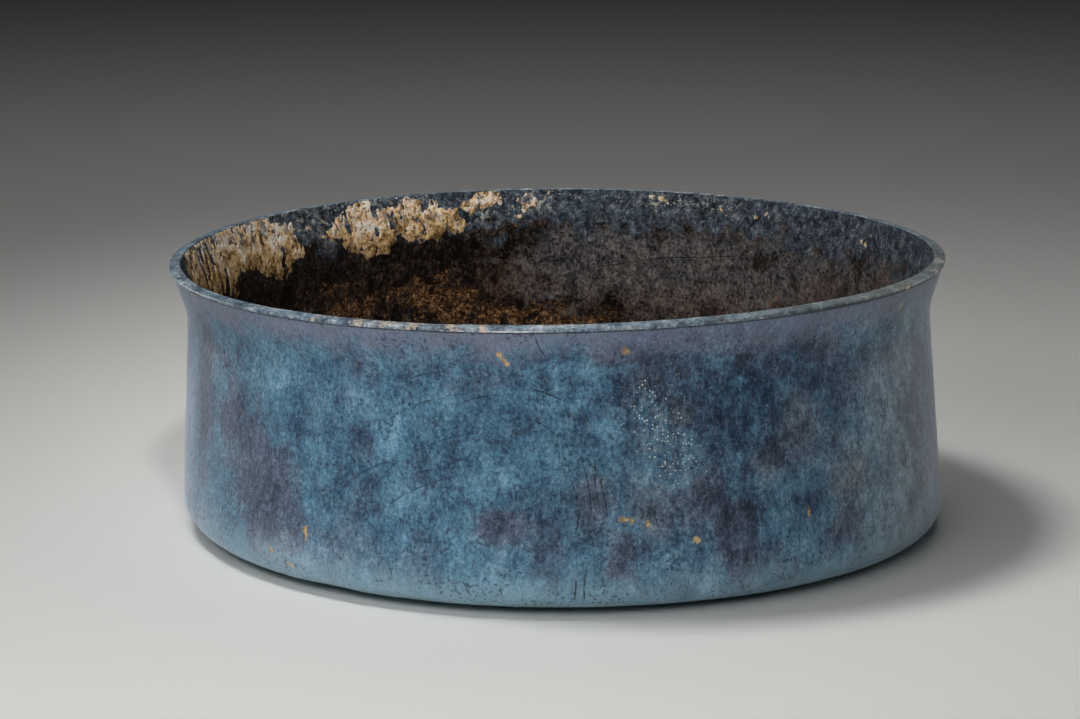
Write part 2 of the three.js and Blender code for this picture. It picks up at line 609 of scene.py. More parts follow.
# The outer patina: blue over slate, with plum and navy patches where the ground lay against it.
outer = Finish("blue_patina")
outer.unroll()
clumps = outer.cloud(0.022, drawn=1.2, warp=0.25)
mottle = outer.cloud(0.0060, detail=6, rough=0.72, drawn=1.35, warp=0.15, away=11.0)
speckle = outer.cloud(0.0012, rough=0.7, drawn=1.2, away=13.0)
hue = outer.cloud(0.0095, detail=6, rough=0.75, drawn=1.3, warp=0.2, away=3.0)
drift = outer.cloud(0.0095, detail=6, rough=0.75, drawn=1.3, warp=0.2, away=7.0)

# Washes of plum lie here and there over the whole wall, and the dusky stretches have more of it.
dusky = outer.marked("dusky")
weathered_and_painted_light = outer.marked("weathered_and_painted_light")
painted_sheen = outer.marked("painted_sheen")
hue_gaps = outer.swing(hue, 2.6)
drift_gaps = outer.swing(drift, 2.6)
wash_cloud = outer.cloud(0.026, detail=6, rough=0.7, drawn=1.2, warp=0.3, away=17.0)
washes = outer.times(outer.share(wash_cloud, 0.49, 0.62), 0.50)
plum_share = outer.sum(outer.patches("plum", hue_gaps), outer.plus(washes, dusky, 0.22))
plum_share = outer.least(plum_share, 0.9)
pale_share = outer.patches("pale", drift_gaps)

# How light the wall is: its grain, and what each kind of patch adds to that or takes away. The grain is
# stronger where the wall is dusky or weathered.
lightness = outer.plus(outer.times(clumps, 0.19), mottle, 0.34)
lightness = outer.plus(lightness, speckle, 0.36)
stronger = outer.times(outer.sum(dusky, weathered_and_painted_light), 0.22)
lightness = outer.sum(lightness, outer.swing(mottle, stronger))
lightness = outer.plus(lightness, outer.patches("azure", drift_gaps), 0.026)
lightness = outer.plus(lightness, outer.patches("navy", hue_gaps), -0.046)
lightness = outer.plus(lightness, plum_share, -0.020)
# Painted light: the wall grows lighter towards the foot, for light bounced up from the pale table.
lightness = outer.plus(lightness, outer.share(outer.z, 0.034, 0.006), 0.030)
# Painted sheen: the left edge and the heel are made lighter for the reflection of the pale table.
lightness = outer.plus(lightness, painted_sheen, 0.060)
lightness = outer.plus(lightness, outer.marked("paler_sides"), 0.006)
# Painted light: the far right is made lighter, in place of light falling on that side; its grey is patina.
lightness = outer.plus(lightness, weathered_and_painted_light, 0.066)
lightness = outer.plus(lightness, dusky, -0.028)
lightness = outer.sum(lightness, 0.071)
blue = outer.shades(
    lightness,
    [
        (0.37, (0.007, 0.022, 0.049)),
        (0.44, (0.025, 0.068, 0.131)),
        (0.50, (0.062, 0.157, 0.252)),
        (0.56, (0.113, 0.272, 0.396)),
        (0.66, (0.319, 0.529, 0.696)),
    ],
)
plum = outer.shades(
    lightness,
    [
        (0.37, (0.013, 0.018, 0.036)),
        (0.44, (0.037, 0.051, 0.090)),
        (0.50, (0.078, 0.103, 0.162)),
        (0.56, (0.146, 0.191, 0.270)),
        (0.66, (0.338, 0.439, 0.515)),
    ],
)
grey = outer.shades(
    lightness,
    [
        (0.37, (0.018, 0.026, 0.044)),
        (0.44, (0.048, 0.074, 0.112)),
        (0.50, (0.093, 0.143, 0.195)),
        (0.56, (0.173, 0.241, 0.299)),
        (0.66, (0.396, 0.475, 0.525)),
    ],
)
painted_sheen_colour = (0.40, 0.44, 0.54)
colour = outer.over(blue, grey, outer.plus(pale_share, weathered_and_painted_light, 0.55))
colour = outer.over(colour, plum, plum_share)
# Painted sheen: a pale lavender laid over the left edge and the heel.
colour = outer.over(colour, painted_sheen_colour, painted_sheen, 0.30)

# A lavender film under the lip, lightened with a painted reflection of the pale table that the downward flare
# catches, a painted shadow as a dark line in the step there, and a paler heel band that is painted reflection
# of the table and light bounced up from it.
film_and_reflection_colour = (0.218, 0.235, 0.318)
heel_reflection_colour = (0.350, 0.540, 0.630)
# The colour of dark dirt, and also of painted shade.
dirt_and_shade_colour = (0.014, 0.021, 0.036)
level = outer.marked("turned_height")
edge_noise = outer.swing(outer.cloud(0.010, detail=5, rough=0.65, away=5.0), 0.022)
film_and_reflection_share = outer.share(outer.sum(level, edge_noise), 0.0785, 0.0885)
less_where_dusky = outer.plus(1.0, dusky, -0.45)
colour = outer.over(colour, film_and_reflection_colour, outer.times(film_and_reflection_share, less_where_dusky), 0.78)
# Painted reflection of the pale table and light bounced from it, as a paler band on the heel.
heel_reflection_share = outer.share(outer.plus(outer.z, edge_noise, 0.6), 0.0185, 0.0030)
colour = outer.over(colour, heel_reflection_colour, outer.times(heel_reflection_share, less_where_dusky), 0.72)
# Painted shadow: a dark line in the step under the lip.
step_painted_shadow = outer.share(level, under_lip - 0.0007, under_lip - 0.0003)
colour = outer.over(colour, dirt_and_shade_colour, step_painted_shadow, 0.85)

# Fine grain: dark pinholes, pale dust in them, and streaks from wiping.
dust_colour = (0.46, 0.58, 0.66)
wiped_colour = (0.36, 0.44, 0.53)
pin_noise = outer.cloud(0.0010, detail=2, rough=0.5, drawn=1.2, away=1.0)
pin_field = outer.cloud(0.009, detail=3, rough=0.6, away=9.0)
pins = outer.times(outer.share(pin_noise, 0.565, 0.63), outer.share(pin_field, 0.40, 0.56))
colour = outer.over(colour, dirt_and_shade_colour, pins, 0.65)
dust_noise = outer.cloud(0.0008, detail=2, rough=0.5, away=4.0)
dust = outer.times(outer.share(dust_noise, 0.62, 0.70), outer.share(pin_field, 0.60, 0.46))
colour = outer.over(colour, dust_colour, dust, 0.35)
streaks = outer.cloud(0.0009, detail=3, rough=0.6, drawn=7, away=2.0)
colour = outer.over(colour, wiped_colour, outer.share(streaks, 0.55, 0.74), 0.25)
colour = outer.over(colour, dirt_and_shade_colour, outer.share(streaks, 0.45, 0.28), 0.30)

# Pale mineral flecks, each in a cell of its own and thick in one cluster, with a thin haze round them.
fleck_cell = 0.0008
fleck_colour = (0.86, 0.94, 0.88)
haze_colour = (0.42, 0.50, 0.50)
flecked = outer.marked("flecked")
fleck_cells = outer.add("ShaderNodeTexVoronoi", [outer.place])
fleck_cells.inputs["Scale"].default_value = 1 / fleck_cell
fleck_pick = outer.add("ShaderNodeSeparateColor", [fleck_cells.outputs["Color"]]).outputs[0]
fleck_size = outer.share(outer.plus(fleck_pick, flecked, 0.42), 0.92, 1.18)
fleck_edge = outer.plus(outer.times(fleck_cells.outputs["Distance"], -1.0), fleck_size, 0.40)
flecks = outer.share(fleck_edge, 0.0, 0.14)
haze = outer.times(flecked, outer.share(outer.cloud(0.0022, rough=0.7, away=14.0), 0.47, 0.62))
colour = outer.over(colour, haze_colour, haze, 0.28)
colour = outer.over(colour, fleck_colour, flecks, 0.85)

# Ochre earth left in short strokes. A stroke is given by the places where it begins and ends, and its bow.
ochre_strokes = [
    (-8.0, 83.0, -7.0, 79.8, 0.5),
    (9.5, 84.4, 9.7, 83.8, 0.0),
    (-39.1, 21.6, -38.9, 18.6, 0.3),
    (-46.6, 12.8, -46.2, 11.6, 0.2),
    (-42.4, 9.2, -42.0, 8.9, 0.0),
    (8.6, 31.6, 10.0, 30.9, 0.4),
    (11.5, 31.0, 12.2, 29.6, 0.3),
    (37.5, 28.0, 37.6, 27.2, 0.0),
    (18.9, 24.0, 19.3, 23.4, 0.0),
    (140.0, 33.0, 141.5, 30.0, 0.5),
]
ragged = outer.swing(outer.cloud(0.0017, detail=5, rough=0.8, away=6.0), 0.0072)
ochre_edge = outer.sum(outer.strokes(ochre_strokes), ragged)
ochre = outer.share(ochre_edge, 0.00095, 0.00035)
ochre_colour = outer.shades(
    outer.cloud(0.0015, detail=3, rough=0.6),
    [
        (0.40, (0.34, 0.20, 0.08)),
        (0.60, (0.86, 0.60, 0.28)),
    ],
)
colour = outer.over(colour, ochre_colour, ochre, 0.9)
smear_colour = (0.60, 0.42, 0.26)
smear = outer.share(outer.plus(outer.marked("smeared"), ragged, 160.0), 0.35, 1.00)
colour = outer.over(colour, smear_colour, smear, 0.6)

# Scratches: those that can be told apart, each at its own place, and many fine ones.
long_scratches = [
    (-3.3, 71.8, 0.7, 68.5, 0.4),
    (-3.7, 62.8, 1.1, 54.3, 0.9),
    (-2.8, 89.2, -1.2, 81.6, -0.6),
    (1.2, 50.3, 2.4, 38.0, -0.4),
    (3.4, 48.0, 4.2, 34.0, 0.5),
    (5.0, 50.0, 5.4, 36.0, -0.6),
    (2.6, 34.5, 2.0, 27.5, 0.2),
    (5.6, 44.0, 6.4, 32.0, 0.4),
    (3.9, 23.9, 5.7, 29.0, 0.3),
    (1.9, 15.0, 1.6, 6.4, 0.2),
    (3.3, 16.0, 3.0, 7.0, -0.2),
]
faint_scratches = [
    (-22.1, 72.3, -16.7, 76.3, 0.7),
    (-24.5, 60.2, -16.1, 68.2, 1.3),
    (-75.0, 49.5, -66.5, 51.5, 1.1),
    (-20.5, 44.5, -12.5, 51.0, -0.7),
    (-30.5, 40.0, -24.0, 47.5, 0.8),
    (-26.5, 30.5, -15.0, 44.0, 1.6),
    (-20.0, 51.5, -11.5, 58.0, 1.0),
    (-14.5, 66.0, -8.5, 70.0, 0.8),
]
scratch_half_width = 0.00030
cut_colour = (0.006, 0.010, 0.020)
bright_colour = (0.62, 0.74, 0.82)
unbroken = outer.share(outer.cloud(0.0025, detail=2, rough=0.5, away=8.0), 0.36, 0.52)
long_cuts = outer.share(outer.strokes(long_scratches), scratch_half_width, 0.00010)
long_cuts = outer.times(long_cuts, unbroken)
faint_cuts = outer.share(outer.strokes(faint_scratches), scratch_half_width, 0.00008)
faint_cuts = outer.times(faint_cuts, outer.times(unbroken, 0.75))
colour = outer.over(colour, cut_colour, outer.sum(long_cuts, faint_cuts), 0.88)
fine = random_scratches(outer, cell=0.012, length=0.0100, width=0.00013, lean=5.2)
colour = outer.over(colour, dirt_and_shade_colour, fine, 0.6)
upright = random_scratches(outer, cell=0.010, length=0.0110, width=0.00016, lean=0.40, away=0.5)
upright = outer.times(upright, outer.share(outer.z, 0.034, 0.014))
colour = outer.over(colour, dirt_and_shade_colour, upright, 0.6)
bright = random_scratches(outer, cell=0.011, length=0.0070, width=0.00012, lean=5.8, away=0.9)
colour = outer.over(colour, bright_colour, bright, 0.14)

outer.feed(outer.shader.inputs["Base Color"], colour)
sheen = outer.shades(mottle, [(0.38, (0.30, 0.30, 0.30)), (0.62, (0.50, 0.50, 0.50))])
outer.feed(outer.shader.inputs["Roughness"], sheen)
outer.shader.inputs["Specular IOR Level"].default_value = 0.30
outer.shader.inputs["Sheen Weight"].default_value = 0.6
outer.shader.inputs["Sheen Roughness"].default_value = 0.2
outer.shader.inputs["Sheen Tint"].default_value = (0.82, 0.84, 1.0, 1)
bumps = outer.raised(mottle, 0.00020)
bumps = outer.raised(outer.plus(outer.times(pins, -1.0), flecks, 0.8), 0.00006, bumps)
bumps = outer.raised(outer.times(outer.sum(fine, upright), -1.0), 0.00008, bumps)
outer.feed(outer.shader.inputs["Normal"], bumps)

# The lip: handled and rubbed, so its patina is thinner and greyer, with spots of lime and tan earth, a
# painted highlight along the lower edge of its edge face in front and a painted shade line along it on the
# right.
hand_marked("rubbed", bowl_mesh, bowl_points, [(-8, 90, 60, 30), (-30, 90, 40, 30)])
hand_marked("arris_highlight", bowl_mesh, bowl_points, [(-9, 91, 20, 30)])
hand_marked("greyed", bowl_mesh, bowl_points, [(55, 91, 60, 30), (80, 91, 40, 30)])
tan_spots = [
    (-36, 2),
    (-29, 3),
    (-25, 4.5),
    (-20.5, 4.5),
    (-15, 3.5),
    (-11, 2.5),
    (22, 1.5),
    (59, 3),
    (72, 5),
    (80, 4),
]
hand_marked("tan", bowl_mesh, bowl_points, [(angle, 90, sideways, 9) for angle, sideways in tan_spots])
hand_marked("whitened", bowl_mesh, bowl_points, [(-72, 91, 20, 30), (-46, 91, 9, 30), (-26, 91, 9, 30)])
greyed_colour = (0.23, 0.24, 0.20)
arris_highlight_colour = (0.80, 0.84, 0.88)
lime_colour = (0.80, 0.80, 0.75)
tan_colour = (0.84, 0.62, 0.42)
rim = Finish("rubbed_lip")
rim_mottle = rim.cloud(0.0060, detail=6, rough=0.70, warp=0.3)
rim_light = rim.plus(rim.times(rim_mottle, 0.8), rim.marked("rubbed"), 0.030)
rim_light = rim.plus(rim_light, rim.sum(rim.cloud(0.0013, rough=0.75, away=7.0), -0.34), 0.60)
rim_colour = rim.shades(
    rim_light,
    [
        (0.37, (0.012, 0.024, 0.038)),
        (0.46, (0.072, 0.116, 0.156)),
        (0.53, (0.170, 0.240, 0.300)),
        (0.60, (0.310, 0.385, 0.440)),
        (0.70, (0.620, 0.660, 0.670)),
    ],
)
arris = rim.share(rim.marked("turned_height"), under_lip + 0.0008, under_lip + 0.0003)
# Painted shade: a dark line along the bottom of the lip's edge face where the lip is greyed.
shaded_arris = rim.times(arris, rim.share(rim.marked("greyed"), 0.2, 0.8))
rim_colour = rim.over(rim_colour, greyed_colour, rim.marked("greyed"), 0.50)
rim_colour = rim.over(rim_colour, dirt_and_shade_colour, shaded_arris, 0.85)
# Painted highlight: a whitish line along the lower edge of the lip's edge face in front.
arris_highlight_edge = rim.swing(rim.cloud(0.0032, rough=0.7, away=6.0), 3.0)
arris_highlight = rim.times(arris, rim.patches("arris_highlight", arris_highlight_edge, 0.55, 1.00))
rim_colour = rim.over(rim_colour, arris_highlight_colour, arris_highlight, 0.85)
lime_cloud = rim.cloud(0.0021, detail=5, rough=0.75, away=3.0)
lime = rim.share(rim.plus(lime_cloud, rim.marked("whitened"), 0.060), 0.61, 0.66)
rim_colour = rim.over(rim_colour, lime_colour, lime, 0.75)
tan_gaps = rim.swing(rim.cloud(0.0015, detail=5, rough=0.8, away=8.0), 5.0)
tan = rim.patches("tan", tan_gaps, 0.85, 1.10)
rim_colour = rim.over(rim_colour, tan_colour, tan, 0.85)
rim_pits = rim.share(rim.cloud(0.0010, detail=3, rough=0.6, away=5.0), 0.60, 0.68)
rim_colour = rim.over(rim_colour, dirt_and_shade_colour, rim_pits, 0.7)
rim.feed(rim.shader.inputs["Base Color"], rim_colour)
rim.shader.inputs["Roughness"].default_value = 0.42
rim.shader.inputs["Specular IOR Level"].default_value = 0.5
rim_bumps = rim.raised(rim_mottle, 0.00014)
rim_bumps = rim.raised(rim.times(rim_pits, -1.0), 0.00008, rim_bumps)
rim.feed(rim.shader.inputs["Normal"], rim_bumps)

# The inside: dark brown, rust low down, greyer on the right, and blue-grey specks in a band under the rim.
rusty_patches = [
    (-157, 54, 24, 11),
    (-170, 44, 30, 8),
    (-142, 52, 14, 7),
    (-182, 40, 26, 6),
    (141.6, 54.2, 4, 3),
    (-137, 61, 9, 3),
    (-120, 44, 30, 9),
    (150, 34, 60, 8),
    (60, 40, 70, 10),
    (-40, 36, 60, 10),
]
ashy_patches = [
    (176, 66, 24, 12),
    (158, 62, 30, 20),
    (135, 60, 30, 22),
    (112, 66, 26, 20),
    (-176, 58, 10, 8),
    (60, 60, 60, 20),
]
ruddy_patches = [
    (158, 50, 44, 8),
    (128, 60, 30, 10),
    (-172, 58, 20, 10),
    (112, 72, 14, 8),
]
limed_patches = [
    (-135, 84, 11, 8),
    (-104, 90, 14, 4),
    (-147, 91, 24, 3),
    (-167, 83, 9, 6),
    (-175, 86, 9, 6),
    (-118, 91, 24, 2.5),
    (-200, 88, 30, 3),
]
hand_marked("rusty", bowl_mesh, bowl_points, rusty_patches)
hand_marked("ashy", bowl_mesh, bowl_points, ashy_patches)
hand_marked("ruddy", bowl_mesh, bowl_points, ruddy_patches)
hand_marked("dusted", bowl_mesh, bowl_points, [(162, 65, 4, 4), (170, 61, 14, 8), (-167, 66, 8, 2)])
hand_marked("limed", bowl_mesh, bowl_points, limed_patches)
chalk_colour = (0.66, 0.63, 0.54)
hole_colour = (0.003, 0.003, 0.003)
crack_colour = (0.003, 0.003, 0.004)
inner = Finish("dark_inside")
soot_clumps = inner.cloud(0.0048, detail=7, rough=0.80, drawn=1.1, warp=0.2)
soot_specks = inner.cloud(0.0011, rough=0.75, drawn=1.3, away=3.0)
soot = inner.sum(soot_clumps, inner.swing(soot_specks, 1.10))
broad_cloud = inner.cloud(0.020, detail=5, rough=0.7, drawn=0.8, warp=0.4, away=5.0)
soot = inner.sum(soot, inner.swing(broad_cloud, 0.22))
brown = inner.shades(
    soot,
    [
        (0.38, (0.0030, 0.0012, 0.0010)),
        (0.50, (0.015, 0.0085, 0.0060)),
        (0.62, (0.062, 0.040, 0.027)),
        (0.76, (0.150, 0.108, 0.080)),
    ],
)
ash = inner.shades(
    soot,
    [
        (0.34, (0.018, 0.016, 0.017)),
        (0.50, (0.104, 0.097, 0.094)),
        (0.62, (0.190, 0.178, 0.170)),
        (0.78, (0.340, 0.320, 0.300)),
    ],
)
ash_drift = inner.swing(inner.cloud(0.012, rough=0.65, warp=0.3, away=2.0), 2.4)
inside_colour = inner.over(brown, ash, inner.patches("ashy", ash_drift, 0.15, 0.75))
rust_shade = inner.shades(
    inner.cloud(0.0014, detail=5, rough=0.8, away=4.0),
    [
        (0.40, (0.014, 0.006, 0.002)),
        (0.49, (0.105, 0.044, 0.015)),
        (0.60, (0.680, 0.360, 0.150)),
    ],
)
rust_spread = inner.swing(inner.cloud(0.0060, detail=8, rough=0.82, warp=0.3, away=6.0), 4.4)
inside_colour = inner.over(inside_colour, rust_shade, inner.patches("rusty", rust_spread, 0.60, 1.15), 0.85)
ruddy_share = inner.patches("ruddy", ash_drift, 0.35, 0.95)
ruddy_shade = inner.shades(soot, [(0.40, (0.045, 0.020, 0.014)), (0.62, (0.200, 0.120, 0.092))])
inside_colour = inner.over(inside_colour, ruddy_shade, ruddy_share, 0.5)
dusted_share = inner.share(inner.plus(inner.marked("dusted"), rust_spread, 0.5), 0.45, 1.20)
dusted_shade = inner.shades(soot, [(0.42, (0.110, 0.105, 0.092)), (0.62, (0.380, 0.360, 0.320))])
inside_colour = inner.over(inside_colour, dusted_shade, dusted_share, 0.45)
band = inner.shades(
    inner.cloud(0.0032, detail=7, rough=0.85, drawn=1.1, warp=0.3, away=9.0),
    [
        (0.38, (0.004, 0.005, 0.007)),
        (0.46, (0.028, 0.036, 0.050)),
        (0.55, (0.095, 0.120, 0.155)),
        (0.66, (0.340, 0.370, 0.370)),
    ],
)
band_edge = inner.swing(inner.cloud(0.010, detail=5, rough=0.7, away=1.0), 0.050)
band_share = inner.share(inner.sum(inner.z, band_edge), 0.0745, 0.0815)
inside_colour = inner.over(inside_colour, band, band_share)
chalk_cloud = inner.cloud(0.0016, detail=5, rough=0.75, away=12.0)
chalk = inner.share(inner.plus(chalk_cloud, inner.marked("limed"), 0.105), 0.60, 0.67)
chalk_share = inner.times(chalk, inner.share(inner.sum(inner.z, band_edge), 0.074, 0.088))
inside_colour = inner.over(inside_colour, chalk_colour, chalk_share, 0.8)
holes = inner.share(inner.cloud(0.0012, detail=3, rough=0.6, away=15.0), 0.59, 0.68)
inside_colour = inner.over(inside_colour, hole_colour, holes, 0.75)

# A crack and a few cuts. The crack runs past the back, where the unrolled wall has its ends, so the right
# half of the wall is set a full turn further to the left.
inside_lines = [
    (-173.4, 55.3, -182.7, 61.6, 0.3),
    (-182.7, 61.6, -187.1, 63.6, -0.2),
    (-187.1, 63.6, -198.1, 68.1, 0.3),
    (-198.1, 68.1, -211.7, 70.8, 0.4),
    (-186.9, 70.8, -187.3, 63.9, 0.4),
    (-184.6, 74.0, -186.9, 70.8, 0.1),
    (-156.0, 74.0, -155.5, 65.5, 0.2),
]
inner.unroll()
right_half = inner.add("ShaderNodeMath", [inner.x, 0.0], operation="GREATER_THAN").outputs[0]
full_turn = inner.times(right_half, -2 * math.pi * belly_radius)
further_left = inner.add("ShaderNodeCombineXYZ", [full_turn]).outputs[0]
inner.sheet = inner.add("ShaderNodeVectorMath", [inner.sheet, further_left], operation="ADD").outputs[0]
inside_cuts = inner.share(inner.strokes(inside_lines), 0.00024, 0.00008)
inside_colour = inner.over(inside_colour, crack_colour, inside_cuts, 0.8)
inner.feed(inner.shader.inputs["Base Color"], inside_colour)
inner.shader.inputs["Roughness"].default_value = 0.62
inner.shader.inputs["Specular IOR Level"].default_value = 0.1
inner_bumps = inner.raised(soot, 0.0007)
inner_bumps = inner.raised(inner.sum(inner.times(holes, -1.0), chalk), 0.00012, inner_bumps)
inner.feed(inner.shader.inputs["Normal"], inner_bumps)

for finish in (outer, rim, inner):
    bowl_mesh.materials.append(finish.material)
rows_each = [len(outside), len(over_lip) - 1, rows - len(outside) - len(over_lip)]
finish_of_row = np.append(np.repeat([0, 1, 2], rows_each), [0, 2])
finish_of_face = np.repeat(finish_of_row, segments_round).astype(np.int32)
bowl_mesh.polygons.foreach_set("material_index", finish_of_face)
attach(bowl, "root")
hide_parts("bowl")

# The crust: earth and lime that set hard on the inner wall under the rim, in two broad patches at the back
# left and a few crumbs beside them. It is a skin a third of a millimetre thick, broken at its edges and full
# of holes, and it is rooted in the metal.
crust_thickness_mm = 0.32
crust_edge_mm = 1.8
crust_root_mm = 0.9
crust_step = 0.00035
crust_from = -244.0
crust_to = -84.0
crust_low = 0.060
crust_top = height - 0.0006

# The two patches as outlines of places, and each crumb as a place and a radius in mm.
left_patch = [
    (-92, 89.1),
    (-96.6, 91.0),
    (-110, 91.6),
    (-119, 91.4),
    (-125, 90.0),
    (-130, 86.5),
    (-131, 81.5),
    (-131.7, 75.6),
    (-129.4, 74.5),
    (-127.4, 69.3),
    (-121.8, 69.8),
    (-120.7, 73.0),
    (-117.6, 75.5),
    (-113.6, 73.5),
    (-112.5, 66.4),
    (-94.6, 76.5),
    (-90.8, 83.2),
]
right_patch = [
    (-136.9, 80.7),
    (-140.9, 87.4),
    (-145.4, 90.0),
    (-149.7, 88.0),
    (-152.0, 89.6),
    (-157.8, 90.0),
    (-160.0, 86.8),
    (-162.6, 86.6),
    (-165.8, 90.2),
    (-171.1, 90.8),
    (-170.1, 87.2),
    (-166.6, 85.2),
    (-163.6, 84.6),
    (-164.7, 80.2),
    (-162.2, 77.4),
    (-158.0, 76.5),
    (-155.3, 75.6),
    (-150.2, 76.6),
    (-149.7, 70.4),
    (-146.0, 70.8),
    (-141.3, 73.8),
    (-140.6, 78.3),
]
crumbs = [
    (-173.0, 82.1, 1.2),
    (-173.9, 84.6, 1.0),
    (-174.8, 85.7, 0.8),
    (-175.8, 87.5, 0.8),
    (-174.7, 90.0, 0.9),
    (-173.2, 87.6, 0.7),
    (-172.6, 79.6, 0.8),
    (-177.7, 88.2, 0.6),
    (-178.4, 90.4, 0.8),
    (-185.8, 86.6, 0.9),
    (-195.8, 90.2, 0.8),
    (-197.8, 89.2, 1.0),
    (-199.0, 88.3, 0.9),
    (-208.9, 87.1, 0.7),
    (-210.8, 84.9, 0.6),
    (-213.7, 87.8, 0.9),
    (-215.5, 85.4, 0.8),
    (-217.2, 87.0, 0.8),
    (-219.2, 86.2, 0.7),
    (-223.5, 85.1, 0.5),
    (-239.6, 84.1, 0.7),
    (-241.2, 83.6, 0.7),
    (-134.0, 84.5, 0.6),
    (-133.5, 78.0, 0.6),
]


def on_wall_mm(places):
    """Places in millimetres across and up the unrolled inner wall."""
    places = np.array(places, float)
    across = np.radians(places[..., 0]) * mouth_radius * 1000
    return np.stack([across, places[..., 1]], axis=-1)


def depth_inside(spots, outline):
    """How far inside a closed outline each spot lies, in mm, and less than nothing outside it."""
    nearest = np.full(len(spots), np.inf)
    crossings = np.zeros(len(spots), int)
    for begin, end in zip(outline, np.roll(outline, -1, axis=0)):
        along = end - begin
        share = np.clip((spots - begin) @ along / (along @ along), 0, 1)
        off_edge = spots - begin - share[:, None] * along
        nearest = np.minimum(nearest, np.linalg.norm(off_edge, axis=1))
        spans = (begin[1] > spots[:, 1]) != (end[1] > spots[:, 1])
        rise = along[1] if along[1] else 1e-9
        crossings += spans & (spots[:, 0] < begin[0] + (spots[:, 1] - begin[1]) * along[0] / rise)
    return np.where(crossings % 2 == 1, nearest, -nearest)


crust_columns = int(math.radians(crust_to - crust_from) * mouth_radius / crust_step)
crust_rows = int((crust_top - crust_low) / crust_step)
column_angle = np.linspace(crust_from, crust_to, crust_columns)
row_level = np.linspace(crust_low, crust_top, crust_rows)
wall_line = np.vstack([crest, inner_wall])[::-1]
row_radius = np.interp(row_level, wall_line[:, 1], wall_line[:, 0])
grid_angle, grid_level = (part.ravel() for part in np.meshgrid(column_angle, row_level))
grid_radius = np.repeat(row_radius, crust_columns)
grid_turn = np.radians(grid_angle) - math.pi / 2
outwards = np.stack([np.cos(grid_turn), np.sin(grid_turn), np.zeros(len(grid_turn))], axis=1)
on_turned_wall = grid_radius[:, None] * outwards
on_turned_wall[:, 2] = grid_level
bare_wall = set_uneven(on_turned_wall)
spots = on_wall_mm(np.stack([grid_angle, bare_wall[:, 2] * 1000], axis=1))

left_reach = depth_inside(spots, on_wall_mm(left_patch))
reach = np.maximum(left_reach, depth_inside(spots, on_wall_mm(right_patch)))
crumb_reach = np.full(len(spots), -np.inf)
for angle_there, height_there, crumb_radius in crumbs:
    there = on_wall_mm((angle_there, height_there))
    crumb_reach = np.maximum(crumb_reach, crumb_radius - np.linalg.norm(spots - there, axis=1))

# How far each spot of the skin stands off the wall, in mm: a rim that wanders, lumps, holes, stretches worn
# through, and upright clefts in all but the far left.
near_patch_mm = 5
lump_height_mm = 0.035
hole_depth_mm = 3.0
worn_depth_mm = 3.2
worn_less_below_mm = 84
cleft_depth_mm = 3.4
cleft_start_mm = -248
cleft_fade_mm = 14
near_patch = np.flatnonzero(np.maximum(reach, crumb_reach) > -near_patch_mm)
across, upwards = spots[near_patch].T
flat_spots = np.column_stack([across, upwards, np.zeros(len(across))])
tall_spots = flat_spots * np.array([1.0, 0.55, 1.0])
tallest_spots = flat_spots * np.array([1.0, 0.26, 1.0])
edge_wander = 2.6 * grain(flat_spots, 6.0, 4) + 1.5 * grain(flat_spots + 50, 1.5, 3)
holes_there = np.clip(grain(tall_spots + 90, 1.3, 3) - 0.42, 0, 1)
worn_limit = 0.36 + 0.12 * (upwards < worn_less_below_mm)
worn_through = np.clip(grain(tall_spots + 20, 4.2, 5) - worn_limit, 0, 1)
clefts = np.clip(grain(tallest_spots + 33, 2.4, 3) - 0.24, 0, 1)
clefts *= np.clip((across - cleft_start_mm) / cleft_fade_mm, 0, 1)
lumps_there = lump_height_mm * grain(flat_spots + 70, 2.4, 4)
in_patch = reach[near_patch] + edge_wander
in_crumb = crumb_reach[near_patch] + 0.7 * edge_wander
stand = crust_thickness_mm * np.tanh(np.maximum(in_patch, in_crumb) / crust_edge_mm) + lumps_there
stand -= hole_depth_mm * holes_there + worn_depth_mm * worn_through + cleft_depth_mm * clefts
crust_stand = np.full(len(spots), -1.0)
crust_stand[near_patch] = np.clip(stand, -0.5, 1.0)

# Cells of the grid that carry crust, with corner-to-corner touches filled so that the skin stays closed.
least_stand_mm = -0.05
filling_rounds = 8
stand_grid = crust_stand.reshape(crust_rows, crust_columns)
highest = np.maximum(stand_grid[:-1], stand_grid[1:])
kept = np.maximum(highest[:, :-1], highest[:, 1:]) > least_stand_mm
for _ in range(filling_rounds):
    slant = kept[:-1, :-1] & kept[1:, 1:] & ~kept[:-1, 1:] & ~kept[1:, :-1]
    other_slant = kept[:-1, 1:] & kept[1:, :-1] & ~kept[:-1, :-1] & ~kept[1:, 1:]
    for block in (slant, other_slant):
        row_of, column_of = np.nonzero(block)
        for row_step in (0, 1):
            for column_step in (0, 1):
                kept[row_of + row_step, column_of + column_step] = True

stand_off = wall_relief(on_turned_wall) + crust_stand / 1000
front_points = set_uneven(on_turned_wall - outwards * stand_off[:, None])
root_points = set_uneven(on_turned_wall + outwards * crust_root_mm / 1000)
row_of, column_of = np.nonzero(kept)
corner = row_of * crust_columns + column_of
cell = np.stack([corner, corner + 1, corner + crust_columns + 1, corner + crust_columns], axis=1)
grid_size = len(front_points)
crust_faces = cell[:, ::-1].tolist() + (cell + grid_size).tolist()
padded = np.pad(kept, 1)
sides = (
    (padded[:-2, 1:-1], 0, 1),
    (padded[1:-1, 2:], 1, 2),
    (padded[2:, 1:-1], 2, 3),
    (padded[1:-1, :-2], 3, 0),
)
for neighbour, first, second in sides:
    open_side = ~neighbour[row_of, column_of]
    begin = cell[open_side, first]
    end = cell[open_side, second]
    crust_faces += np.stack([begin, end, end + grid_size, begin + grid_size], axis=1).tolist()

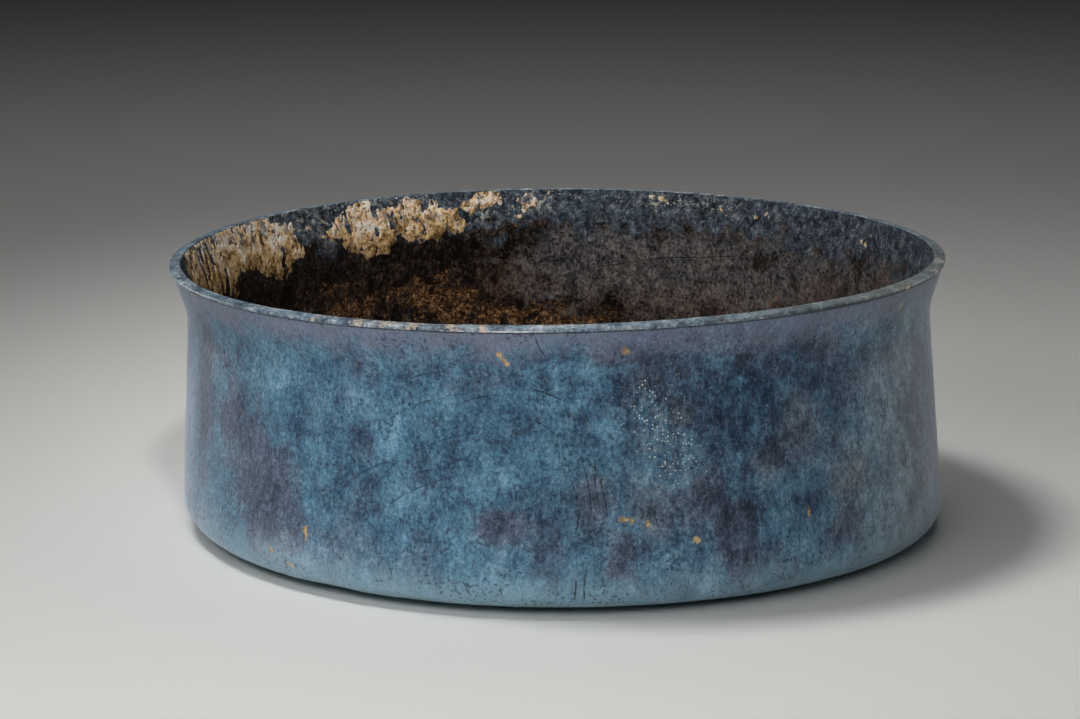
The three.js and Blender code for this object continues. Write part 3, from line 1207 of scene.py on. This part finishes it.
used, renumbered = np.unique(np.array(crust_faces), return_inverse=True)
crust_points = np.vstack([front_points, root_points])[used]
crust_mesh = bpy.data.meshes.new("earth_crust")
crust_mesh.from_pydata(crust_points.tolist(), [], renumbered.reshape(-1, 4).tolist())
crust_mesh.shade_smooth()
crust = bpy.data.objects.new("earth_crust", crust_mesh)
bpy.context.scene.collection.objects.link(crust)

# Its finish: ochre earth, golden low down and paler towards the rim, with a pink blush and blue-grey dust.
limy_patches = [
    (-124, 86, 9, 5),
    (-112, 88, 20, 4),
    (-143, 86, 10, 4),
    (-165, 88, 10, 3),
]
hand_marked("limy", crust_mesh, crust_points, limy_patches)
blush_colour = (0.86, 0.56, 0.40)
blue_dust_colour = (0.13, 0.16, 0.19)
pore_colour = (0.030, 0.020, 0.012)
earth = Finish("earth_and_lime")
clods = earth.cloud(0.0042, detail=7, rough=0.78, drawn=1.1, warp=0.4)
height_tint = earth.times(earth.share(earth.z, 0.070, 0.088), 0.050)
bold_clods = earth.sum(earth.times(clods, 1.4), -0.185)
earth_light = earth.plus(earth.sum(bold_clods, height_tint), earth.marked("limy"), 0.060)
beds = earth.sum(earth.cloud(0.011, rough=0.6, drawn=0.7, warp=0.4, away=12.0), -0.5)
earth_light = earth.plus(earth_light, beds, 0.26)
grit = earth.swing(earth.cloud(0.0010, rough=0.75, away=7.0), 0.35)
earth_light = earth.sum(earth_light, grit)
earth_colour = earth.shades(
    earth_light,
    [
        (0.39, (0.055, 0.034, 0.018)),
        (0.46, (0.320, 0.175, 0.062)),
        (0.53, (0.700, 0.440, 0.195)),
        (0.60, (0.930, 0.700, 0.460)),
        (0.70, (0.960, 0.890, 0.800)),
    ],
)
gold_height = earth.plus(earth.z, beds, 0.030)
stains = earth.share(gold_height, 0.0835, 0.0755)
stain_shade = earth.shades(earth_light, [(0.40, (0.150, 0.080, 0.026)), (0.62, (0.640, 0.400, 0.150))])
earth_colour = earth.over(earth_colour, stain_shade, stains, 0.75)
blush = earth.share(earth.cloud(0.0045, rough=0.6, warp=0.2, away=6.0), 0.52, 0.62)
earth_colour = earth.over(earth_colour, blush_colour, blush, 0.30)
blue_dust = earth.share(earth.cloud(0.0050, detail=6, rough=0.78, warp=0.3, away=9.0), 0.525, 0.575)
dust_height = earth.share(earth.z, 0.078, 0.087)
earth_colour = earth.over(earth_colour, blue_dust_colour, earth.times(blue_dust, dust_height), 0.8)
pores = earth.share(earth.cloud(0.0012, rough=0.7, away=4.0), 0.57, 0.64)
earth_colour = earth.over(earth_colour, pore_colour, pores, 0.85)
earth.feed(earth.shader.inputs["Base Color"], earth_colour)
earth.shader.inputs["Roughness"].default_value = 0.92
earth.shader.inputs["Specular IOR Level"].default_value = 0.15
earth_bumps = earth.raised(clods, 0.00070)
earth_bumps = earth.raised(earth.times(pores, -1.0), 0.00015, earth_bumps)
earth.feed(earth.shader.inputs["Normal"], earth_bumps)
crust_mesh.materials.append(earth.material)
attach(crust, "root")

# The table: a wide sheet of pale paper. It is lit in front of the bowl and falls off into grey behind it.
table_reach = 6
corners = [(-table_reach, -table_reach, 0), (table_reach, -table_reach, 0)]
corners += [(table_reach, table_reach, 0), (-table_reach, table_reach, 0)]
table_mesh = bpy.data.meshes.new("table")
table_mesh.from_pydata(corners, [], [(0, 1, 2, 3)])
table = bpy.data.objects.new("table", table_mesh)
bpy.context.scene.collection.objects.link(table)
paper = bpy.data.materials.new("paper")
paper.use_nodes = True
paper_shader = paper.node_tree.nodes["Principled BSDF"]
paper_shader.inputs["Base Color"].default_value = (0.81, 0.80, 0.775, 1)
paper_shader.inputs["Roughness"].default_value = 1
paper_shader.inputs["Specular IOR Level"].default_value = 0
table_mesh.materials.append(paper)


# The light: a soft key from the left, wide boxes over the front of the table, mostly on the left, one over
# the back of it and one high over all, a lamp that looks into the mouth, and two tall cards at the sides that
# only show as a sheen along the wall.
def aimed(data, place, target):
    """Hangs a lamp at a place and turns it to what it lights."""
    lamp = bpy.data.objects.new(data.name, data)
    lamp.location = place
    lamp.rotation_euler = (Vector(target) - Vector(place)).to_track_quat("-Z", "Y").to_euler()
    bpy.context.scene.collection.objects.link(lamp)
    return lamp


def softbox(name, place, target, size, power, spread):
    """A soft rectangular lamp. The spread is its cone in degrees."""
    data = bpy.data.lights.new(name, "AREA")
    data.shape = "RECTANGLE"
    data.size, data.size_y = size
    data.energy = power
    data.spread = math.radians(spread)
    return aimed(data, place, target)


softbox("key", (-0.42, -0.06, 1.25), (0.1, -0.12, 0), (0.3, 0.3), 0.88, 60)
softbox("near_box", (-0.3, -0.72, 0.5), (-0.15, -0.6, 0), (1.0, 0.25), 2.1, 150)
softbox("left_box", (-0.3, -1.0, 0.5), (-0.15, -0.6, 0), (0.8, 0.3), 0.3, 120)
softbox("front_box", (0, -1.0, 0.5), (0, -0.6, 0), (0.8, 0.3), 0.5, 120)
softbox("back_box", (0, 0.6, 1.0), (0, 0.6, 0), (0.9, 0.5), 0.78, 140)
softbox("top_box", (0, 0.1, 2.2), (0, 0.1, 0), (1.4, 1.0), 0.25, 60)

mouth_lamp = bpy.data.lights.new("mouth_lamp", "SPOT")
mouth_lamp.energy = 36
mouth_lamp.spot_size = math.radians(15)
mouth_lamp.spot_blend = 1
mouth_lamp.shadow_soft_size = 0.08
aimed(mouth_lamp, (0.1, -1.1, 1.1), (-0.04, 0.10, 0.085))

for side, card_power in ((-1, 3.6), (1, 1.6)):
    card = softbox("side_card", (side * 0.75, 0.42, 0.13), (0, 0, 0.03), (0.16, 0.5), card_power, 180)
    card.visible_diffuse = False

world = bpy.data.worlds.new("studio")
world.use_nodes = True
background = world.node_tree.nodes["Background"]
background.inputs["Color"].default_value = (1, 1, 1, 1)
background.inputs["Strength"].default_value = 0.003
bpy.context.scene.world = world
bpy.context.scene.view_settings.view_transform = "Standard"
